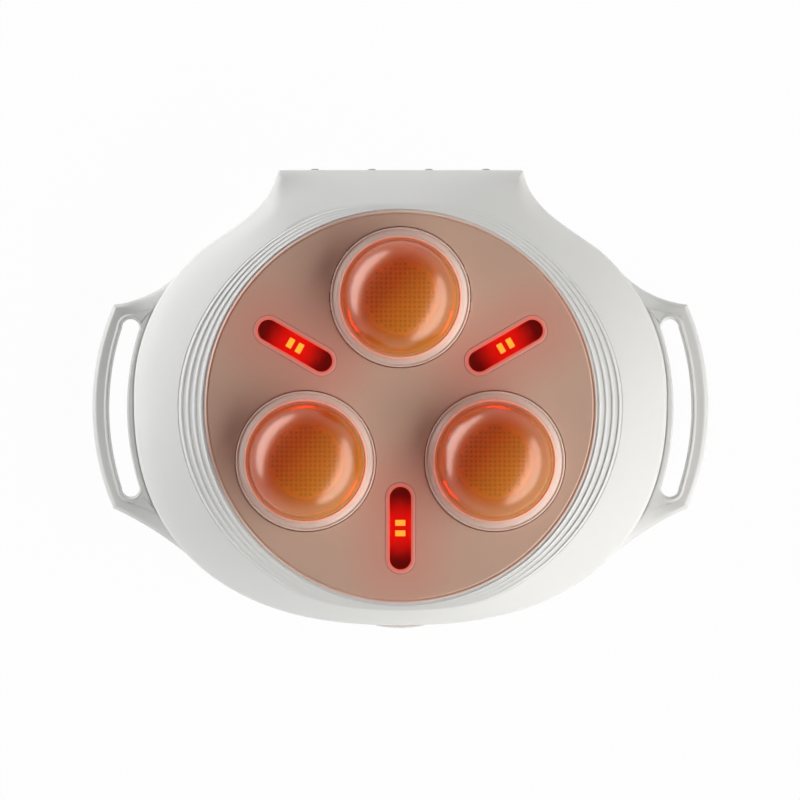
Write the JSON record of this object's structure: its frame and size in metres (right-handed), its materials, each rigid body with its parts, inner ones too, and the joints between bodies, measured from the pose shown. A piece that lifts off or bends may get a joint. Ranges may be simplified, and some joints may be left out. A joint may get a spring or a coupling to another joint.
{
  "type": "abdominal massager",
  "caption": "Cordless abdominal massager: a rounded white case with side strap loops, a round pink panel, spinning amber kneading heads, red light windows and buttons on the top edge.",
  "frame": {"origin": "on the flat back of the case, under the middle of the face panel", "axes": "+Z out of the massaging face, +Y towards the button edge, +X to the right seen from the face"},
  "size_m": [0.2498, 0.186, 0.067],
  "materials": {
    "shell": "white satin ABS",
    "panel": "champagne pink metallic lacquer, satin",
    "skirt": "pale translucent silicone",
    "dome": "amber translucent, polished",
    "gear_plastic": "ivory acetal",
    "steel": "plain steel",
    "bronze": "sintered bronze",
    "heater": "dark heater board",
    "red_lens": "clear red, lit from inside",
    "light_tray": "red light tray",
    "light_board": "light board with two lit chips",
    "button": "grey satin",
    "circuit_board": "green solder mask",
    "plug_silicone": "warm white silicone",
    "battery": "blue shrink sleeve"
  },
  "bodies": {
    "case": {"front_shell": "shell", "back_shell": "shell", "face_panel": "panel", "window_lens_right": "red_lens", "window_lens_left": "red_lens", "window_lens_bottom": "red_lens", "light_tray_right": "light_tray", "light_tray_left": "light_tray", "light_tray_bottom": "light_tray", "light_board_right": "light_board", "light_board_left": "light_board", "light_board_bottom": "light_board", "head_axle_top": "steel", "head_axle_left": "steel", "head_axle_right": "steel", "heater_plate_top": "heater", "heater_plate_left": "heater", "heater_plate_right": "heater", "control_board": "circuit_board", "charging_board": "circuit_board", "charging_port": "steel", "motor": "steel", "worm_bearing": "gear_plastic", "lower_bush": "bronze", "upper_bush": "bronze", "gear_plate": "steel", "battery_pack": "battery", "case_screw_top_right": "steel", "case_screw_top_left": "steel", "case_screw_side_right": "steel", "case_screw_side_left": "steel", "case_screw_bottom_right": "steel", "case_screw_bottom_left": "steel", "plate_screw_right": "steel", "plate_screw_left": "steel", "plate_screw_bottom": "steel", "board_screw_right": "steel", "board_screw_left": "steel"},
    "drive": {"drive_shaft": "steel", "worm_wheel": "gear_plastic", "sun_gear": "gear_plastic"},
    "worm_rotor": {"worm": "steel"},
    "head_top": {"head_gear_top": "gear_plastic", "head_hub_top": "gear_plastic", "head_dome_top": "dome", "head_skirt_top": "skirt"},
    "head_left": {"head_gear_left": "gear_plastic", "head_hub_left": "gear_plastic", "head_dome_left": "dome", "head_skirt_left": "skirt"},
    "head_right": {"head_gear_right": "gear_plastic", "head_hub_right": "gear_plastic", "head_dome_right": "dome", "head_skirt_right": "skirt"},
    "power_key": {"power_button": "button"},
    "heat_key": {"heat_button": "button"},
    "mode_key": {"mode_button": "button"},
    "level_key": {"level_button": "button"},
    "plug": {"port_plug": "plug_silicone"}
  },
  "joints": [
    {"name": "drive_spin", "type": "hinge", "parent": "case", "child": "drive", "pos_m": [0, 0, 0.0155], "axis": [0, 0, 1], "continuous": true},
    {"name": "worm_spin", "type": "hinge", "parent": "case", "child": "worm_rotor", "pos_m": [0, -0.024, 0.0155], "axis": [1, 0, 0], "continuous": true},
    {"name": "head_top_spin", "type": "hinge", "parent": "case", "child": "head_top", "pos_m": [0, 0.0442, 0.044], "axis": [0, 0, 1], "continuous": true},
    {"name": "head_left_spin", "type": "hinge", "parent": "case", "child": "head_left", "pos_m": [-0.03828, -0.0221, 0.044], "axis": [0, 0, 1], "continuous": true},
    {"name": "head_right_spin", "type": "hinge", "parent": "case", "child": "head_right", "pos_m": [0.03828, -0.0221, 0.044], "axis": [0, 0, 1], "continuous": true},
    {"name": "power_press", "type": "slide", "parent": "case", "child": "power_key", "axis": [0, -1, 0], "range_m": [0, 0.0008], "stiffness_N_per_m": 1200},
    {"name": "heat_press", "type": "slide", "parent": "case", "child": "heat_key", "axis": [0, -1, 0], "range_m": [0, 0.0008], "stiffness_N_per_m": 1200},
    {"name": "mode_press", "type": "slide", "parent": "case", "child": "mode_key", "axis": [0, -1, 0], "range_m": [0, 0.0008], "stiffness_N_per_m": 1200},
    {"name": "level_press", "type": "slide", "parent": "case", "child": "level_key", "axis": [0, -1, 0], "range_m": [0, 0.0008], "stiffness_N_per_m": 1200},
    {"name": "plug_pull", "type": "slide", "parent": "case", "child": "plug", "axis": [0, -1, 0], "range_m": [0, 0.006]}
  ],
  "couplings": [
    {"joint": "worm_spin", "follows": "drive_spin", "ratio": -24},
    {"joint": "head_top_spin", "follows": "drive_spin", "ratio": -0.5},
    {"joint": "head_left_spin", "follows": "drive_spin", "ratio": -0.5},
    {"joint": "head_right_spin", "follows": "drive_spin", "ratio": -0.5}
  ]
}
